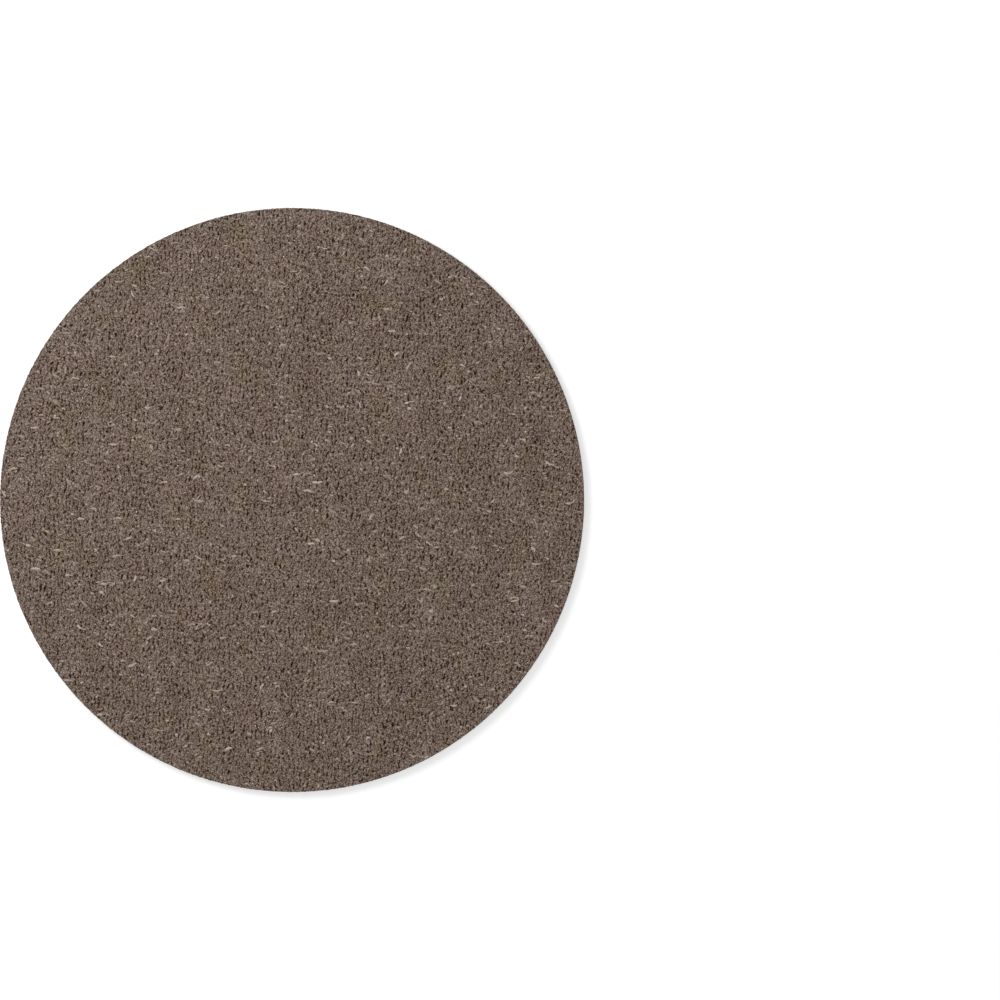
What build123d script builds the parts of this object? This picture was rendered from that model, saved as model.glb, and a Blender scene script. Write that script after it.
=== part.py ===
from build123d import *
import os

# Hook and loop sanding disc, in millimetres.
# The disc lies flat on its loop face: +Z is the disc's axis and points to the abrasive face,
# and the origin is the centre of the loop face.

# Coated abrasive sheet: a resin-filled cloth with a coat of bonded grain on it
disc_diameter = 125.0
backing_thickness = 0.50
coat_thickness = 0.45
# The cutting die breaks the brittle coat a little inside the cloth's edge and rounds it
coat_chip_back = 0.10
coat_edge_radius = 0.18

# Loop cloth: a knitted ground, glued to the sheet, with a brushed loop pile under it
ground_thickness = 0.25
pile_height = 0.70
# The soft cloth draws back from the cut
cloth_draw_back = 0.22
# The pile leans in at the rim: it is rounded off over this width, and the ground stands clear of
# the floor there by the height of the pile
pile_roll_width = 1.30

# Heights and radii that follow from those sizes
loop_cloth_thickness = pile_height + ground_thickness
backing_top = loop_cloth_thickness + backing_thickness
abrasive_top = backing_top + coat_thickness
sheet_radius = disc_diameter / 2
coat_radius = sheet_radius - coat_chip_back
loop_cloth_radius = sheet_radius - cloth_draw_back


def abrasive_sheet():
    """Cloth backing and grain coat, bonded for good: one turned profile with the chipped coat edge."""
    with BuildPart() as sheet:
        with BuildSketch(Plane.XZ):
            with BuildLine():
                edge_start = (coat_radius, abrasive_top - coat_edge_radius)
                edge_end = (coat_radius - coat_edge_radius, abrasive_top)
                Polyline(
                    (0, loop_cloth_thickness),
                    (sheet_radius, loop_cloth_thickness),
                    (sheet_radius, backing_top),
                    (coat_radius, backing_top),
                    edge_start,
                )
                TangentArc(edge_start, edge_end, tangent=(0, 1))
                Polyline(edge_end, (0, abrasive_top), (0, loop_cloth_thickness))
            make_face()
        revolve(axis=Axis.Z)
    return sheet.part


def loop_cloth():
    """Knitted ground and loop pile: flat underneath, with a quarter-ellipse roll at the rim."""
    flat_radius = loop_cloth_radius - pile_roll_width
    with BuildPart() as cloth:
        with BuildSketch(Plane.XZ):
            with BuildLine():
                Polyline(
                    (loop_cloth_radius, pile_height),
                    (loop_cloth_radius, loop_cloth_thickness),
                    (0, loop_cloth_thickness),
                    (0, 0),
                    (flat_radius, 0),
                )
                EllipticalCenterArc(
                    (flat_radius, pile_height),
                    pile_roll_width,
                    pile_height,
                    start_angle=270,
                    arc_size=90,
                )
            make_face()
        revolve(axis=Axis.Z)
    return cloth.part


os.makedirs("parts", exist_ok=True)
export_step(abrasive_sheet(), "parts/abrasive_sheet.step")
export_step(loop_cloth(), "parts/loop_cloth.step")
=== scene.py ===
import math

import bmesh
import bpy
import numpy as np
from bpy.props import FloatProperty, FloatVectorProperty, IntProperty, PointerProperty
from mathutils import Matrix, Vector


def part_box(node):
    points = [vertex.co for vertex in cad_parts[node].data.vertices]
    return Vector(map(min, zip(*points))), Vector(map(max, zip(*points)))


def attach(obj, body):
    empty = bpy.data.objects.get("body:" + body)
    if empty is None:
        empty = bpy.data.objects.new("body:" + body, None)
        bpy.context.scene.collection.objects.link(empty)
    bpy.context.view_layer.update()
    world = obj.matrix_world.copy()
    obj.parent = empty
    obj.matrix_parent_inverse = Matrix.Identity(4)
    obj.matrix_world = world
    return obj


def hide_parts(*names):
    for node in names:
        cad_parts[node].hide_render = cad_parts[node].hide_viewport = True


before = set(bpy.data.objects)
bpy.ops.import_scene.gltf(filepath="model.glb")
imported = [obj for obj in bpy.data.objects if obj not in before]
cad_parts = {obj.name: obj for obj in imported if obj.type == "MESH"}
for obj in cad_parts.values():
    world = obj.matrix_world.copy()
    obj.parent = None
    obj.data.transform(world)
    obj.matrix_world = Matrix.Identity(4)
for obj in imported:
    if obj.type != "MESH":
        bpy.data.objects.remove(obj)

bl_info = {
    "name": "Hook and loop sanding disc",
    "version": (1, 0, 0),
    "blender": (4, 5, 0),
    "location": "3D View > Sidebar > Sanding disc",
    "description": "Builds the grain coat, the cloth and the loop pile of a sanding disc on its CAD frame",
    "category": "Object",
}

# The frame: the sheet carries the grain and lies on the loop cloth, and both are round about Z
SHEET_LOW, SHEET_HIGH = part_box("abrasive_sheet")
CLOTH_LOW, CLOTH_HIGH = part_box("loop_cloth")
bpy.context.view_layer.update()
SHEET_RADIUS = (SHEET_HIGH.y - SHEET_LOW.y) / 2
CLOTH_RADIUS = (CLOTH_HIGH.y - CLOTH_LOW.y) / 2
BODY = "root"
MM = 0.001

POINT_STEP = 1.0
COUNT_SHARE = 1.0


def length(name, description, default):
    """A property in metres, shown in the scene's unit of length."""
    return FloatProperty(name=name, description=description, default=default, unit="LENGTH", precision=6)


def share(name, description, default, most=1.0):
    """A property without a unit, from 0 to 1 unless another most is given."""
    return FloatProperty(name=name, description=description, default=default, min=0.0, max=most, precision=3)


def whole(name, description, default):
    """A whole number: a count, or the seed of a random draw."""
    return IntProperty(name=name, description=description, default=default, min=0)


def plain(name, description, default):
    """A number in the unit that its description names."""
    return FloatProperty(name=name, description=description, default=default)


def colour(name, description, default):
    """A colour property, in linear light."""
    return FloatVectorProperty(name=name, description=description, default=default, subtype="COLOR", size=3,
                               min=0.0, max=1.0)


class CoatSettings(bpy.types.PropertyGroup):
    """Sizes and colours of the bonded grain coat. Its tones are in shares of white."""

    thickness: length("Thickness", "From the cloth to the highest ridge", 0.45 * MM)
    chip_back: length("Chip back", "How far the coat's edge lies inside the cloth's", 0.10 * MM)
    edge_radius: length("Edge radius", "Rounding of the coat's upper edge", 0.18 * MM)
    edge_wander: length("Edge wander", "How far the broken edge strays from a circle", 0.06 * MM)
    point_gap: length("Point gap", "Distance between points before thinning", 0.20 * MM)
    faces: whole("Faces", "Triangles left after thinning", 190000)
    pit_depth: length("Pit depth", "Depth of the pits", 0.22 * MM)
    ridge_height: length("Ridge height", "From the rims of the pits to the highest ridges", 0.10 * MM)
    coarseness: share("Coarseness", "Size of the pattern of pits beside that of this disc", 1.0, 4.0)
    grain: length("Grain size", "Distance between the grains", 0.36 * MM)
    cluster: length("Cluster size", "Distance between clusters of grains", 0.55 * MM)
    facet_tilt: share("Facet tilt", "How far the facets of the grains lean", 0.42, 4.0)
    # Painted shade in the gaps between grains and between clusters
    grain_gap_shade: share("Gap tone", "How much darker the gaps between the grains are", 0.215)
    cluster_gap_shade: share("Cluster tone", "How much darker the gaps between clusters are", 0.073)
    grain_tone: share("Grain tone", "How much the tone of the grains varies", 0.026)
    # Painted light and shade by height: ridges paler, hollows darker
    height_shade: share("Ridge tone", "How much paler the ridges are, for each spread of their height", 0.0315)
    # Pit bottoms darker: partly dark resin, partly painted shade
    pit_resin_and_shade: share("Pit tone", "How much darker the bottoms of the pits are", 0.385)
    # Thin crest lines made paler
    pale_crest_tone: share("Crest tone", "How much paler worn crests are", 0.112)
    field_tone: share("Field tone", "How much the tone wanders across the disc", 0.010)
    hue_tone: share("Hue tone", "How far olive and pink patches differ", 0.018)
    coat_colour: colour("Coat colour", "Resin and grain between pit and ridge", (0.1973, 0.1498, 0.1239))


class GrainSettings(bpy.types.PropertyGroup):
    """Loose standing grains on the ridges, and the pale splinters among them."""

    grains: whole("Grains", "Standing grains on the whole disc", 8800)
    smallest: length("Smallest grain", "Half the size of the smallest grain", 0.07 * MM)
    largest: length("Largest grain", "Half the size of the largest grain", 0.19 * MM)
    grain_seed: whole("Grain seed", "Starts the draw of the grains", 11)
    splinters: whole("Splinters", "Pale slender splinters on the whole disc", 1600)
    shortest: length("Shortest splinter", "Length of the shortest splinter", 0.45 * MM)
    longest: length("Longest splinter", "Length of the longest splinter", 2.1 * MM)
    splinter_width: length("Splinter width", "Size that the girth of the splinters is a share of", 0.46 * MM)
    splinter_seed: whole("Splinter seed", "Starts the draw of the splinters", 5)
    splinter_colour: colour("Splinter colour", "Pale mineral", (0.406, 0.344, 0.283))


class ClothSettings(bpy.types.PropertyGroup):
    """The cut edges of the backing cloth and of the knitted ground."""

    backing_thickness: length("Backing thickness", "Resin-filled cloth under the coat", 0.50 * MM)
    yarn_gap: length("Yarn gap", "Distance between the yarn ends in the cut edge", 0.50 * MM)
    crimp: length("Crimp", "How far a yarn end stands out of the cut edge", 0.09 * MM)
    stitch_gap: length("Stitch gap", "Distance between the stitches in the ground's edge", 0.70 * MM)
    ground_thickness: length("Ground thickness", "Knitted ground above the pile", 0.25 * MM)
    backing_colour: colour("Backing colour", "Cloth soaked with resin", (0.150, 0.096, 0.058))
    ground_colour: colour("Ground colour", "White knitted yarn", (0.82, 0.81, 0.78))


class PileSettings(bpy.types.PropertyGroup):
    """The brushed loops under the disc, and the number stamped on them."""

    roll_width: length("Roll width", "How far in the pile rolls off at the rim", 1.30 * MM)
    inset: length("Inset", "From the tips of the loops to the matted pile behind them", 0.16 * MM)
    clumps: length("Clumps", "How far the matted pile rises and falls", 0.05 * MM)
    point_gap: length("Point gap", "Distance between points of the matted pile", 0.50 * MM)
    loops: whole("Loops", "Loops on the flat part of the pile", 4800)
    rim_loops: whole("Rim loops", "Loops on the rolled rim", 4900)
    loop_size: length("Loop size", "Width of a loop", 0.58 * MM)
    loop_seed: whole("Loop seed", "Starts the draw of the loops", 3)
    pile_colour: colour("Pile colour", "White polyamide loops", (0.86, 0.86, 0.85))
    figure_height: length("Figure height", "Height of the large stamped figures", 10.0 * MM)
    small_height: length("Small figure height", "Height of the small stamped figures", 6.0 * MM)
    stamp_apart: length("Rows apart", "Distance between the two rows of figures", 55.0 * MM)
    ink_colour: colour("Ink colour", "Grey stamp ink", (0.16, 0.16, 0.17))


class StageSettings(bpy.types.PropertyGroup):
    """Light, floor and camera."""

    floor_side: length("Floor side", "Side of the square floor", 3.0)
    floor_colour: colour("Floor colour", "Pale floor", (0.80, 0.80, 0.80))
    floor_glow: share("Floor glow", "Light of its own that the floor shows beside the disc", 0.31)
    far_glow: share("Far glow", "Light of its own that the floor shows far from the disc", 0.64)
    sky_strength: share("Sky strength", "Light from all round", 0.58)
    key_power: plain("Key power", "Power of the upper left lamp in watts", 0.69)
    fill_power: plain("Fill power", "Power of the upper lamp in watts", 1.41)
    lens: plain("Lens", "Focal length in millimetres", 120.0)


def add_node(tree, kind, inputs=None, **settings):
    """A node of this kind, with its settings, and with the values or links of its inputs."""
    made = tree.nodes.new(kind)
    for name, value in settings.items():
        setattr(made, name, value)
    for name, value in (inputs or {}).items():
        socket = made.inputs[name]
        if isinstance(value, bpy.types.NodeSocket):
            tree.links.new(value, socket)
        else:
            socket.default_value = value
    return made


def maths(tree, operation, first, second=0.0, third=0.0):
    """The result of one sum on numbers or sockets."""
    return add_node(tree, "ShaderNodeMath", {0: first, 1: second, 2: third}, operation=operation).outputs[0]


def plus(tree, first, second):
    """Two numbers or sockets added up."""
    return maths(tree, "ADD", first, second)


def minus(tree, first, second):
    """A number or a socket less another one."""
    return maths(tree, "SUBTRACT", first, second)


def times(tree, first, *others):
    """Numbers or sockets multiplied by one another, from left to right."""
    for other in others:
        first = maths(tree, "MULTIPLY", first, other)
    return first


def vector_maths(tree, operation, first, second=(0.0, 0.0, 0.0)):
    """The result of one sum on vectors."""
    return add_node(tree, "ShaderNodeVectorMath", {0: first, 1: second}, operation=operation).outputs[0]


def scaled(tree, vector, factor):
    """A vector times a number."""
    return add_node(tree, "ShaderNodeVectorMath", {0: vector, "Scale": factor}, operation="SCALE").outputs[0]


def length_of(tree, vector):
    """How long a vector is."""
    return add_node(tree, "ShaderNodeVectorMath", {0: vector}, operation="LENGTH").outputs["Value"]


def vector_of(tree, x, y, z):
    """One vector from three numbers or sockets."""
    return add_node(tree, "ShaderNodeCombineXYZ", {"X": x, "Y": y, "Z": z}).outputs[0]


def even(tree, value):
    """A vector with the same value in all its parts."""
    return vector_of(tree, value, value, value)


def parts_of(tree, vector):
    """The three parts of a vector or a colour."""
    return add_node(tree, "ShaderNodeSeparateXYZ", {"Vector": vector}).outputs


def flattened(tree, place):
    """A place without its height."""
    return vector_maths(tree, "MULTIPLY", place, (1.0, 1.0, 0.0))


def centred(tree, draws):
    """Three random values from 0 to 1, moved so that they lie about nought."""
    return vector_maths(tree, "SUBTRACT", draws, (0.5, 0.5, 0.5))


def over(tree, place, across, along, up=1.0):
    """A place counted in steps of a length across X, one along Y and one up Z."""
    return vector_maths(tree, "DIVIDE", place, (across, along, up))


def noise(tree, place, detail=0.0, dimensions="2D", output="Fac"):
    """Smooth random values about one unit apart, from 0 to 1, at a place."""
    inputs = {"Vector": place, "Scale": 1.0, "Detail": detail, "Roughness": 0.5}
    return add_node(tree, "ShaderNodeTexNoise", inputs, noise_dimensions=dimensions).outputs[output]


def cells(tree, place, dimensions, randomness=1.0):
    """Random cells about one unit apart: the outputs of their distance, colour and middle."""
    inputs = {"Vector": place, "Scale": 1.0, "Randomness": randomness}
    settings = {"voronoi_dimensions": dimensions, "feature": "F1"}
    return add_node(tree, "ShaderNodeTexVoronoi", inputs, **settings).outputs


def ramp(tree, value, low, high, out_low=0.0, out_high=1.0, kind="SMOOTHSTEP"):
    """A value mapped from one range to another and held inside it."""
    inputs = {"Value": value, "From Min": low, "From Max": high, "To Min": out_low, "To Max": out_high}
    return add_node(tree, "ShaderNodeMapRange", inputs, interpolation_type=kind).outputs[0]


# Spread of the noise about its mean of a half: across a plane, and in space with finer octaves
FLAT_SPREAD = 0.160
SOLID_SPREAD = 0.082


def in_spreads(tree, value, spread):
    """A noise as so many spreads above its mean."""
    return maths(tree, "DIVIDE", minus(tree, value, 0.5), spread)


def noise_apart(tree, place, lengths, apart, detail=0.0):
    """Noise across the disc over two lengths, read so far apart that it doesn't match the others."""
    return noise(tree, vector_maths(tree, "ADD", over(tree, place, *lengths), apart), detail)


def solid_noise(tree, place, lengths, detail):
    """Noise in space over three lengths, as so many spreads above its mean."""
    return in_spreads(tree, noise(tree, over(tree, place, *lengths), detail, "3D"), SOLID_SPREAD)


def strayed(tree, place, by, wave):
    """A place moved about at random: by how much, and over about what lengths, across X and along Y."""
    sway = centred(tree, noise(tree, over(tree, place, *wave), output="Color"))
    return vector_maths(tree, "ADD", place, vector_maths(tree, "MULTIPLY", sway, (*by, 0.0)))


# Sizes and shares of the noises that make the ridges: across X, along Y, share of the height
RIDGE_NOISES = (
    (0.36 * MM, 0.36 * MM, 0.62),
    (0.50 * MM, 0.50 * MM, 0.74),
    (0.50 * MM, 0.80 * MM, 0.42),
    (0.60 * MM, 1.40 * MM, 0.40),
    (2.00 * MM, 2.40 * MM, 0.18),
    (4.20 * MM, 6.00 * MM, 0.22),
)
# Each of them is read this far from the one before it, in its own units
RIDGE_APART = (17.3, 9.1, 0.0)
# Ridges and pits sway to either side by up to half of this, over about this length
SWAY = (1.6 * MM, 1.6 * MM)
SWAY_LENGTH = (5.0 * MM, 5.0 * MM)

# Pits: distance between them and half their size, across X and along Y
PIT_GAP = (0.88 * MM, 1.28 * MM)
PIT_HALF = (0.162 * MM, 0.50 * MM)
# Pits stray from an even grid by this share of the distance between them
PIT_STRAY = 0.52
# How far a pit leans to the right, and how much that varies, sideways for each unit along it
PIT_LEAN = 0.18
PIT_SLANT = 0.9
# A pit is bent to either side by up to half of this, over about this length
PIT_BEND = (0.22 * MM, 0.22 * MM)
PIT_BEND_LENGTH = (0.70 * MM, 0.70 * MM)
# Pits drift up and down Y by up to half of this, over about this length, so that their steps are uneven
PIT_DRIFT = (0.0, 1.5 * MM)
PIT_DRIFT_LENGTH = (0.8 * MM, 2.0 * MM)
# The smallest pit beside one of half the size above, and how much larger the largest is
PIT_SMALLEST = 0.68
PIT_GROWTH = 0.46
# A pit's floor ends and its wall meets the ridges this far from its middle, in halves of its size
PIT_FLOOR = 0.50
PIT_RIM = 1.05
# Depth of the shallowest pit beside the deepest
PIT_SHALLOWEST = 0.52
# Patches of about this size have pits of only this share of the depth, and they fade in as a noise falls
# through this range
SMOOTH_PATCH = (3.4 * MM, 3.4 * MM)
SMOOTH_DEPTH = 0.74
SMOOTH_RANGE = (0.34, 0.52)


def pits(tree, place):
    """How deep in a pit a place lies, from 0 to 1. Each pit has a lean, a size and a depth of its own."""
    bent = strayed(tree, strayed(tree, place, PIT_DRIFT, PIT_DRIFT_LENGTH), PIT_BEND, PIT_BEND_LENGTH)
    counted = over(tree, bent, *PIT_GAP)
    near = cells(tree, counted, "2D", PIT_STRAY)
    offset = vector_maths(tree, "SUBTRACT", counted, near["Position"])
    away = parts_of(tree, vector_maths(tree, "MULTIPLY", offset, (*PIT_GAP, 0.0)))
    draws = parts_of(tree, near["Color"])
    slant = maths(tree, "MULTIPLY_ADD", minus(tree, draws[0], 0.5), PIT_SLANT, -PIT_LEAN)
    upright = vector_of(tree, maths(tree, "MULTIPLY_ADD", away[1], slant, away[0]), away[1], 0.0)
    far = length_of(tree, over(tree, upright, *PIT_HALF))
    far = maths(tree, "DIVIDE", far, maths(tree, "MULTIPLY_ADD", draws[1], PIT_GROWTH, PIT_SMALLEST))
    deep = ramp(tree, draws[2], 0.0, 1.0, PIT_SHALLOWEST, 1.0, "LINEAR")
    return times(tree, ramp(tree, far, PIT_FLOOR, PIT_RIM, 1.0, 0.0), deep)


def coat_fields(tree, place, coarseness):
    """Height of the ridges at a place, as so many spreads above its mean, and how deep in a pit it lies.

    The shape and the finish of the coat both read them, so that the dark colour of a pit, partly resin and
    partly painted shade, lies in the pit.
    """
    flat = vector_maths(tree, "DIVIDE", flattened(tree, place), vector_of(tree, coarseness, coarseness, 1.0))
    swayed = strayed(tree, flat, SWAY, SWAY_LENGTH)
    height = 0.0
    for number, (across, along, part) in enumerate(RIDGE_NOISES):
        apart = tuple(number * step for step in RIDGE_APART)
        ridges = in_spreads(tree, noise_apart(tree, swayed, (across, along), apart), FLAT_SPREAD)
        height = maths(tree, "MULTIPLY_ADD", ridges, part, height)
    patch = noise(tree, over(tree, flat, *SMOOTH_PATCH))
    return height, times(tree, pits(tree, swayed), ramp(tree, patch, *SMOOTH_RANGE, SMOOTH_DEPTH, 1.0))


# Crests: thin pale lines this far apart, across X and along Y
CREST_GAP = (1.60 * MM, 0.62 * MM)
# A crest is full where its noise is this near to the mean, and gone from the second value on
CREST_EDGE = (0.005, 0.05)
# Crests are broken up over this length, by a noise that lets them through as it rises through this range
CREST_BREAK = (1.1 * MM, 1.1 * MM)
CREST_RANGE = (0.48, 0.66)
CREST_APART = (61.0, 23.0, 0.0)


def pale_crests(tree, place):
    """How much a place lies on a thin pale crest line, from 0 to 1. Most crests run across the disc."""
    swayed = strayed(tree, place, SWAY, SWAY_LENGTH)
    level = noise(tree, over(tree, swayed, *CREST_GAP), detail=1.0)
    off = maths(tree, "ABSOLUTE", minus(tree, level, 0.5))
    whole_part = ramp(tree, noise_apart(tree, place, CREST_BREAK, CREST_APART), *CREST_RANGE)
    return times(tree, ramp(tree, off, *CREST_EDGE, 1.0, 0.0), whole_part)


def new_tree(name, *numbers):
    """An empty geometry tree with these inputs besides its geometry and material, and its two ends."""
    kinds = {"Geometry": "NodeSocketGeometry", "Material": "NodeSocketMaterial", "Seed": "NodeSocketInt"}
    tree = bpy.data.node_groups.new(name, "GeometryNodeTree")
    for label in ("Geometry", *numbers, "Material"):
        kind = kinds.get(label, "NodeSocketFloat")
        tree.interface.new_socket(name=label, in_out="INPUT", socket_type=kind)
    tree.interface.new_socket(name="Geometry", in_out="OUTPUT", socket_type=kinds["Geometry"])
    return tree, tree.nodes.new("NodeGroupInput").outputs, tree.nodes.new("NodeGroupOutput").inputs


def realize(tree, shape):
    """Instances made real."""
    return add_node(tree, "GeometryNodeRealizeInstances", {"Geometry": shape}).outputs[0]


def finish_tree(tree, shape, given, output):
    """Ends a tree: real faces in place of instances, with the given material."""
    inputs = {"Geometry": realize(tree, shape), "Material": given["Material"]}
    tree.links.new(add_node(tree, "GeometryNodeSetMaterial", inputs).outputs[0], output[0])


def position(tree):
    """The place of each point of a shape."""
    return tree.nodes.new("GeometryNodeInputPosition").outputs[0]


def outward(tree):
    """The normal of each point or face of a shape."""
    return tree.nodes.new("GeometryNodeInputNormal").outputs[0]


def kept_value(tree, name):
    """A number stored on each point under this name."""
    return add_node(tree, "GeometryNodeInputNamedAttribute", {"Name": name}, data_type="FLOAT").outputs[0]


def keep_value(tree, shape, name, value):
    """Instances that each keep a number under a name."""
    inputs = {"Geometry": shape, "Name": name, "Value": value}
    settings = {"data_type": "FLOAT", "domain": "INSTANCE"}
    return add_node(tree, "GeometryNodeStoreNamedAttribute", inputs, **settings).outputs[0]


def draws_from(tree, start):
    """A maker of random numbers for each point, from a seed. Each draw has an offset of its own."""

    def draw(offset, low=0.0, high=1.0):
        inputs = {2: low, 3: high, 8: plus(tree, start, offset)}
        return add_node(tree, "FunctionNodeRandomValue", inputs, data_type="FLOAT").outputs[1]

    return draw


def mostly_small(tree, draw, most):
    """A draw from -1 to 1 spread out to this most on both sides, with small values more common."""
    return times(tree, draw, maths(tree, "ABSOLUTE", draw), most)


def between(tree, low, high, part):
    """The value that lies this part of the way from one socket to another."""
    return maths(tree, "MULTIPLY_ADD", part, minus(tree, high, low), low)


def turned(tree, x, y, z):
    """A rotation from three angles."""
    return add_node(tree, "FunctionNodeEulerToRotation", {0: vector_of(tree, x, y, z)}).outputs[0]


def then_turned(tree, first, second):
    """A rotation followed by another one in its own axes."""
    inputs = {0: first, 1: second}
    return add_node(tree, "FunctionNodeRotateRotation", inputs, rotation_space="LOCAL").outputs[0]


def scattered(tree, given, density):
    """Points scattered over the given shape at a density: the outputs of their places and rotations."""
    inputs = {"Mesh": given["Geometry"], "Density": density, "Seed": given["Seed"]}
    return add_node(tree, "GeometryNodeDistributePointsOnFaces", inputs).outputs


def stood(tree, points, shape, turn, scale):
    """A copy of a shape on every point, turned and sized."""
    inputs = {"Points": points, "Instance": shape, "Rotation": turn, "Scale": scale}
    return add_node(tree, "GeometryNodeInstanceOnPoints", inputs).outputs[0]


def moved(tree, shape, offset):
    """A shape with each of its points moved by an offset."""
    return add_node(tree, "GeometryNodeSetPosition", {"Geometry": shape, "Offset": offset}).outputs[0]


def jiggled(tree, shape, by, wave):
    """A shape with its points moved at random, by up to half of this length and over about that one."""
    shift = noise(tree, over(tree, position(tree), wave, wave, wave), dimensions="3D", output="Color")
    return moved(tree, shape, scaled(tree, centred(tree, shift), by))


def kept_within(tree, shape, radius, low, high):
    """A shape with its points brought back inside a radius and between two heights."""
    place = position(tree)
    spot = parts_of(tree, place)
    far = length_of(tree, flattened(tree, place))
    back = maths(tree, "MINIMUM", 1.0, maths(tree, "DIVIDE", radius, far))
    level = maths(tree, "MINIMUM", maths(tree, "MAXIMUM", spot[2], low), high)
    held = vector_of(tree, times(tree, spot[0], back), times(tree, spot[1], back), level)
    return add_node(tree, "GeometryNodeSetPosition", {"Geometry": shape, "Position": held}).outputs[0]


def bent_line(tree, steps, start, first_handle, second_handle, end):
    """A curve bent by two handles, with a point of its own at each step, so that every step can be moved and
    sized."""
    inputs = {"Resolution": steps, "Start": start, "Start Handle": first_handle, "End Handle": second_handle,
              "End": end}
    line = add_node(tree, "GeometryNodeCurvePrimitiveBezierSegment", inputs).outputs[0]
    return add_node(tree, "GeometryNodeResampleCurve", {"Curve": line}, mode="EVALUATED").outputs[0]


def tube(tree, curve, radius, sides):
    """A closed tube along a curve."""
    ring = add_node(tree, "GeometryNodeCurvePrimitiveCircle", {"Resolution": sides, "Radius": 1.0})
    inputs = {"Curve": curve, "Profile Curve": ring.outputs[0], "Scale": radius, "Fill Caps": True}
    return add_node(tree, "GeometryNodeCurveToMesh", inputs).outputs[0]


def faceted(tree, shape):
    """A shape with flat faces that meet in sharp edges."""
    inputs = {"Geometry": shape, "Shade Smooth": False}
    return add_node(tree, "GeometryNodeSetShadeSmooth", inputs).outputs[0]


def run_tree(piece, tree, values):
    """Gives the piece this tree as a modifier, with a value for each of its named inputs."""
    modifier = piece.modifiers.new(tree.name, "NODES")
    modifier.node_group = tree
    for item in tree.interface.items_tree:
        if item.in_out == "INPUT" and item.name in values:
            modifier[item.identifier] = values[item.name]


def settle(piece):
    """Makes the evaluated shape of a piece its own plain mesh, and takes its modifiers away."""
    bpy.context.view_layer.update()
    graph = bpy.context.evaluated_depsgraph_get()
    evaluated = piece.evaluated_get(graph)
    mesh = bpy.data.meshes.new_from_object(evaluated, preserve_all_data_layers=True, depsgraph=graph)
    old = piece.data
    piece.modifiers.clear()
    piece.data = mesh
    mesh.name = piece.name
    bpy.data.meshes.remove(old)
    used = next((material for material in reversed(mesh.materials) if material), None)
    if used:
        mesh.materials.clear()
        mesh.materials.append(used)
        mesh.polygons.foreach_set("material_index", np.zeros(len(mesh.polygons), dtype=np.int32))


def thin(piece, faces):
    """Brings a piece down to so many triangles, and keeps its points where the shape bends most."""
    bpy.context.view_layer.update()
    count = sum(len(face.vertices) - 2 for face in piece.data.polygons)
    if count <= faces:
        return
    piece.data.transform(Matrix.Scale(1 / MM, 4))
    modifier = piece.modifiers.new("thin", "DECIMATE")
    modifier.ratio = faces / count
    settle(piece)
    piece.data.transform(Matrix.Scale(MM, 4))


def add_object(name, data):
    """An object with this data, linked to the scene."""
    made = bpy.data.objects.new(name, data)
    bpy.context.scene.collection.objects.link(made)
    return made


def new_piece(name, points, faces):
    """A mesh object from its points and faces."""
    mesh = bpy.data.meshes.new(name)
    mesh.from_pydata(points, [], faces)
    return add_object(name, mesh)


def copy_piece(name, original):
    """An object with its own copy of another's mesh, without the material and the map."""
    mesh = original.data.copy()
    mesh.materials.clear()
    while mesh.uv_layers:
        mesh.uv_layers.remove(mesh.uv_layers[0])
    return add_object(name, mesh)


def close_rim(piece):
    """Fills the open rim of a piece with one flat face and turns all faces outward."""
    shape = bmesh.new()
    shape.from_mesh(piece.data)
    rim = [edge for edge in shape.edges if edge.is_boundary]
    bmesh.ops.holes_fill(shape, edges=rim, sides=0)
    bmesh.ops.recalc_face_normals(shape, faces=shape.faces)
    shape.to_mesh(piece.data)
    shape.free()


# A face looks up where the height of its normal is more than this
LOOKS_UP = 0.3


def top_area(piece):
    """Area of the faces that look up."""
    count = len(piece.data.polygons)
    area = np.empty(count)
    normal = np.empty(count * 3)
    piece.data.polygons.foreach_get("area", area)
    piece.data.polygons.foreach_get("normal", normal)
    return float(area[normal.reshape(-1, 3)[:, 2] > LOOKS_UP].sum())


# Half the side of the square that a piece's map shows
MAP_HALF = 64.0 * MM
# Part of the map's corner that takes the hidden faces, which are the only ones with more than four corners
MAP_CORNER = 0.008
# Past the rim's radius, the wall starts to be laid out over this width
MAP_BLEND = 0.1 * MM


def lay_flat(piece, radius=None, level=0.0):
    """Gives a piece the map that its colours are baked through: the disc seen from above.

    Past the given radius, its wall is laid out flat round the rim, from the given level on.
    """
    mesh = piece.data
    points = np.empty(len(mesh.vertices) * 3)
    mesh.vertices.foreach_get("co", points)
    points = points.reshape(-1, 3)
    far = np.maximum(np.hypot(points[:, 0], points[:, 1]), 1e-9)
    stretch = np.ones(len(points))
    if radius is not None:
        past = np.clip((far - radius) / MAP_BLEND, 0.0, 1.0)
        stretch = (far + past * np.abs(points[:, 2] - level)) / far
    flat = 0.5 + points[:, :2] * stretch[:, None] / (2 * MAP_HALF)
    corners = np.empty(len(mesh.loops), dtype=np.int64)
    mesh.loops.foreach_get("vertex_index", corners)
    spots = flat[corners]
    totals = np.empty(len(mesh.polygons), dtype=np.int64)
    mesh.polygons.foreach_get("loop_total", totals)
    hidden = np.repeat(totals > 4, totals)
    spots[hidden] = spots[hidden] * MAP_CORNER
    layer = mesh.uv_layers.new(name="OFBake")
    layer.data.foreach_set("uv", spots.ravel().astype(np.float32))


def place_in(piece, node):
    """Hands a finished piece to the frame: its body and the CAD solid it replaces."""
    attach(piece, BODY)
    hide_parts(node)


def dress(name, carrier, tree, values, node):
    """Builds a piece that a tree scatters over a copy of its carrier, and hands it to the frame."""
    piece = copy_piece(name, carrier)
    run_tree(piece, tree, values)
    settle(piece)
    lay_flat(piece)
    place_in(piece, node)


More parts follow.
